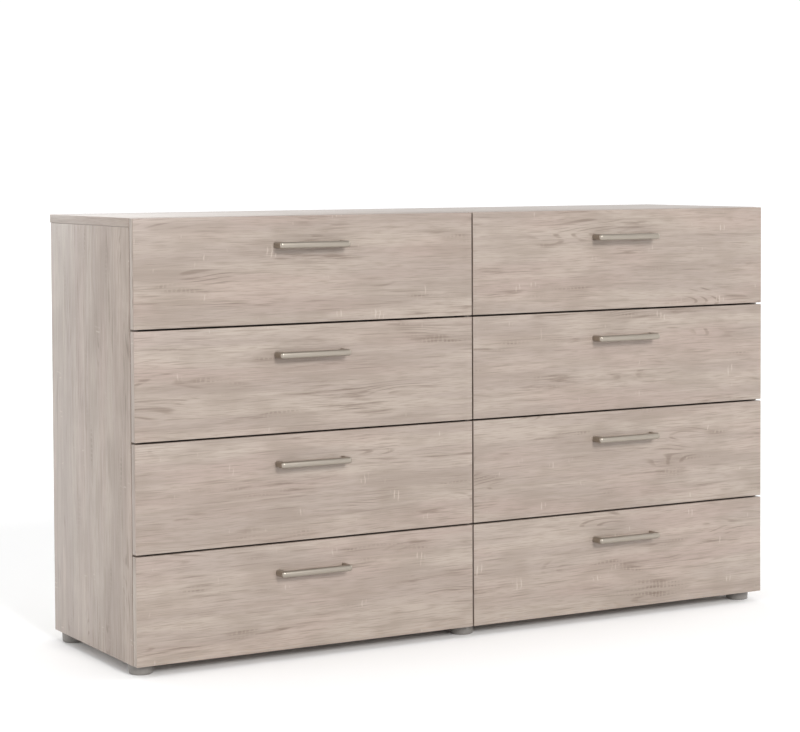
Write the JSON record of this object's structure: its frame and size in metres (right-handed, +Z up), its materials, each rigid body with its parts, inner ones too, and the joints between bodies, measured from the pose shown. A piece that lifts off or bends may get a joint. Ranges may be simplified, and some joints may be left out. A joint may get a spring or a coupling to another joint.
{
  "type": "dresser with drawers",
  "caption": "Low, wide dresser with side-by-side drawers behind overlay fronts, slim bow handles and short round feet, in a pale sawn-oak finish.",
  "frame": {"origin": "on the floor under the middle of the object's box, handles included", "axes": "+X to the right of someone facing the drawers, +Y towards the back, +Z up; the drawers slide out along -Y"},
  "size_m": [1.401, 0.425, 0.817],
  "materials": {
    "oak_foil": "sawn-oak printed and embossed foil on particleboard, pale greyed beige with darker grain, satin-matt",
    "box_foil": "light warm-grey paper foil on particleboard, matt, with a fine woven emboss",
    "hardboard": "thin hardboard with a pale painted face, matt",
    "satin_nickel": "satin nickel plating with a fine lengthwise brush",
    "zinc_steel": "bright zinc-plated sheet steel",
    "foot_plastic": "moulded dark warm-grey plastic, satin"
  },
  "bodies": {
    "carcass": {"top_panel": "oak_foil", "side_panel_left": "oak_foil", "side_panel_right": "oak_foil", "centre_divider": "oak_foil", "bottom_panel": "oak_foil", "back_panel": "hardboard", "foot_front_left": "foot_plastic", "foot_front_centre": "foot_plastic", "foot_front_right": "foot_plastic", "foot_back_left": "foot_plastic", "foot_back_centre": "foot_plastic", "foot_back_right": "foot_plastic", "runner_left_1_a": "zinc_steel", "runner_left_1_b": "zinc_steel", "runner_right_1_a": "zinc_steel", "runner_right_1_b": "zinc_steel", "runner_left_2_a": "zinc_steel", "runner_left_2_b": "zinc_steel", "runner_right_2_a": "zinc_steel", "runner_right_2_b": "zinc_steel", "runner_left_3_a": "zinc_steel", "runner_left_3_b": "zinc_steel", "runner_right_3_a": "zinc_steel", "runner_right_3_b": "zinc_steel", "runner_left_4_a": "zinc_steel", "runner_left_4_b": "zinc_steel", "runner_right_4_a": "zinc_steel", "runner_right_4_b": "zinc_steel"},
    "drawer_left_1": {"front_left_1": "oak_foil", "handle_left_1": "satin_nickel", "box_left_1": "box_foil", "bottom_left_1": "hardboard"},
    "drawer_right_1": {"front_right_1": "oak_foil", "handle_right_1": "satin_nickel", "box_right_1": "box_foil", "bottom_right_1": "hardboard"},
    "drawer_left_2": {"front_left_2": "oak_foil", "handle_left_2": "satin_nickel", "box_left_2": "box_foil", "bottom_left_2": "hardboard"},
    "drawer_right_2": {"front_right_2": "oak_foil", "handle_right_2": "satin_nickel", "box_right_2": "box_foil", "bottom_right_2": "hardboard"},
    "drawer_left_3": {"front_left_3": "oak_foil", "handle_left_3": "satin_nickel", "box_left_3": "box_foil", "bottom_left_3": "hardboard"},
    "drawer_right_3": {"front_right_3": "oak_foil", "handle_right_3": "satin_nickel", "box_right_3": "box_foil", "bottom_right_3": "hardboard"},
    "drawer_left_4": {"front_left_4": "oak_foil", "handle_left_4": "satin_nickel", "box_left_4": "box_foil", "bottom_left_4": "hardboard"},
    "drawer_right_4": {"front_right_4": "oak_foil", "handle_right_4": "satin_nickel", "box_right_4": "box_foil", "bottom_right_4": "hardboard"}
  },
  "joints": [
    {"name": "slide_left_1", "type": "slide", "parent": "carcass", "child": "drawer_left_1", "axis": [0, -1, 0], "range_m": [0, 0.26]},
    {"name": "slide_right_1", "type": "slide", "parent": "carcass", "child": "drawer_right_1", "axis": [0, -1, 0], "range_m": [0, 0.26]},
    {"name": "slide_left_2", "type": "slide", "parent": "carcass", "child": "drawer_left_2", "axis": [0, -1, 0], "range_m": [0, 0.26]},
    {"name": "slide_right_2", "type": "slide", "parent": "carcass", "child": "drawer_right_2", "axis": [0, -1, 0], "range_m": [0, 0.26]},
    {"name": "slide_left_3", "type": "slide", "parent": "carcass", "child": "drawer_left_3", "axis": [0, -1, 0], "range_m": [0, 0.26]},
    {"name": "slide_right_3", "type": "slide", "parent": "carcass", "child": "drawer_right_3", "axis": [0, -1, 0], "range_m": [0, 0.26]},
    {"name": "slide_left_4", "type": "slide", "parent": "carcass", "child": "drawer_left_4", "axis": [0, -1, 0], "range_m": [0, 0.26]},
    {"name": "slide_right_4", "type": "slide", "parent": "carcass", "child": "drawer_right_4", "axis": [0, -1, 0], "range_m": [0, 0.26]}
  ]
}
